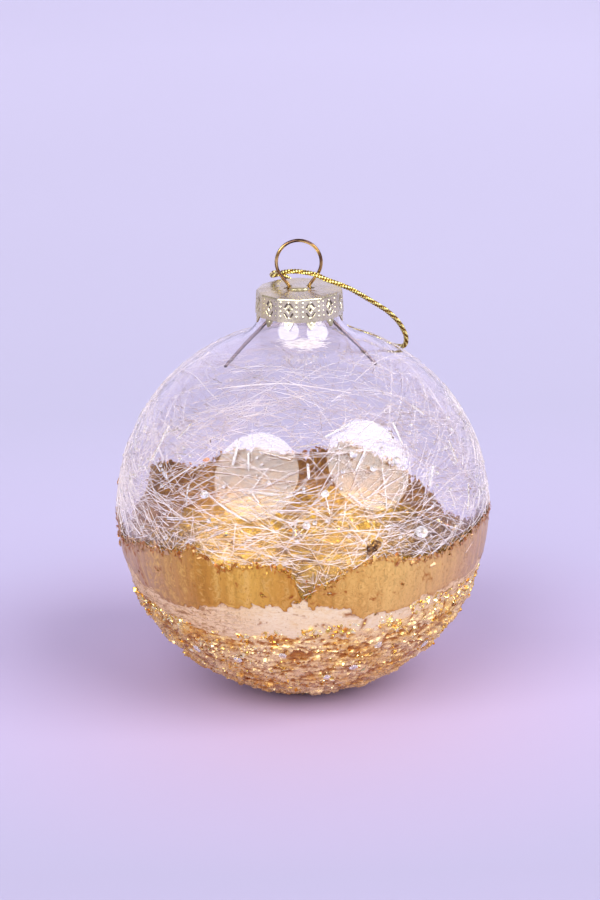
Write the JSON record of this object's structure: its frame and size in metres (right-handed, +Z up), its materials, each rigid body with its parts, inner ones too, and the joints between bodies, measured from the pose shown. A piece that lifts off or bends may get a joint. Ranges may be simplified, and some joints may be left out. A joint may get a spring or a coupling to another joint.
{
  "type": "glass ball ornament",
  "caption": "Clear hollow glass ball with gold leaf and a bead crust on its lower half, a toothed crown cap, a spring-wire hanging ring and a gold cord loop.",
  "frame": {"origin": "centre of the small level rest under the crust, on the floor below the ball's axis", "axes": "+Z up along the ball's axis to the cap, +X to the viewer's right, -Y towards the viewer"},
  "size_m": [0.0809, 0.0811, 0.1003],
  "materials": {
    "clear_glass": "clear, thin blown wall",
    "glass_fibre": "clear fibres, rods, beads and chips",
    "gold_leaf": "crumpled orange-gold leaf",
    "pale_leaf": "smooth champagne-gold leaf",
    "crust_gold": "leaf-covered glass beads, sparkling",
    "cap_metal": "champagne-plated pressed sheet, satin",
    "wire_gold": "polished brass-plated spring wire",
    "cord_gold": "twisted metallic cord"
  },
  "bodies": {
    "ball": {"glass_ball": "clear_glass", "leaf_left": "gold_leaf", "leaf_right": "gold_leaf", "leaf_back": "gold_leaf", "leaf_lower_left": "pale_leaf", "leaf_lower_front": "pale_leaf", "leaf_lower_right": "pale_leaf", "leaf_lower_back": "pale_leaf", "crust_bed": "crust_gold", "glass_rod_01": "glass_fibre", "glass_rod_02": "glass_fibre", "glass_rod_03": "glass_fibre", "glass_rod_04": "glass_fibre", "glass_rod_05": "glass_fibre", "glass_rod_06": "glass_fibre", "glass_rod_07": "glass_fibre", "glass_rod_08": "glass_fibre", "glass_rod_09": "glass_fibre", "glass_rod_10": "glass_fibre", "glass_rod_11": "glass_fibre", "glass_rod_12": "glass_fibre", "glass_rod_13": "glass_fibre", "glass_rod_14": "glass_fibre", "clear_bead_01": "glass_fibre", "clear_bead_02": "glass_fibre", "clear_bead_03": "glass_fibre", "clear_bead_04": "glass_fibre", "clear_bead_05": "glass_fibre", "clear_bead_06": "glass_fibre", "clear_bead_07": "glass_fibre", "clear_bead_08": "glass_fibre", "crust_chip_01": "glass_fibre", "crust_chip_02": "glass_fibre", "crust_chip_03": "glass_fibre", "crust_chip_04": "glass_fibre", "crust_chip_05": "glass_fibre", "crust_chip_06": "glass_fibre", "crust_chip_07": "glass_fibre", "crust_chip_08": "glass_fibre", "crust_chip_09": "glass_fibre", "crust_chip_10": "glass_fibre", "leaf_flake_01": "gold_leaf", "leaf_flake_02": "gold_leaf", "leaf_flake_03": "gold_leaf", "leaf_flake_04": "gold_leaf", "glass_hair_01": "glass_fibre", "glass_hair_02": "glass_fibre", "glass_hair_03": "glass_fibre", "glass_hair_04": "glass_fibre", "glass_hair_05": "glass_fibre", "glass_hair_06": "glass_fibre"},
    "cap": {"cap_shell": "cap_metal", "hanger_cord": "cord_gold", "cord_knot": "cord_gold", "cord_tail_left": "cord_gold", "cord_tail_right": "cord_gold"},
    "hanger": {"hanger_wire": "wire_gold"}
  },
  "joints": [
    {"name": "cap_turn", "type": "hinge", "parent": "ball", "child": "cap", "pos_m": [0, 0, 0.0893], "axis": [0, 0, 1], "continuous": true},
    {"name": "ring_tilt", "type": "hinge", "parent": "cap", "child": "hanger", "pos_m": [0, 0, 0.0893], "axis": [1, 0, 0], "range_deg": [-7, 7]}
  ]
}
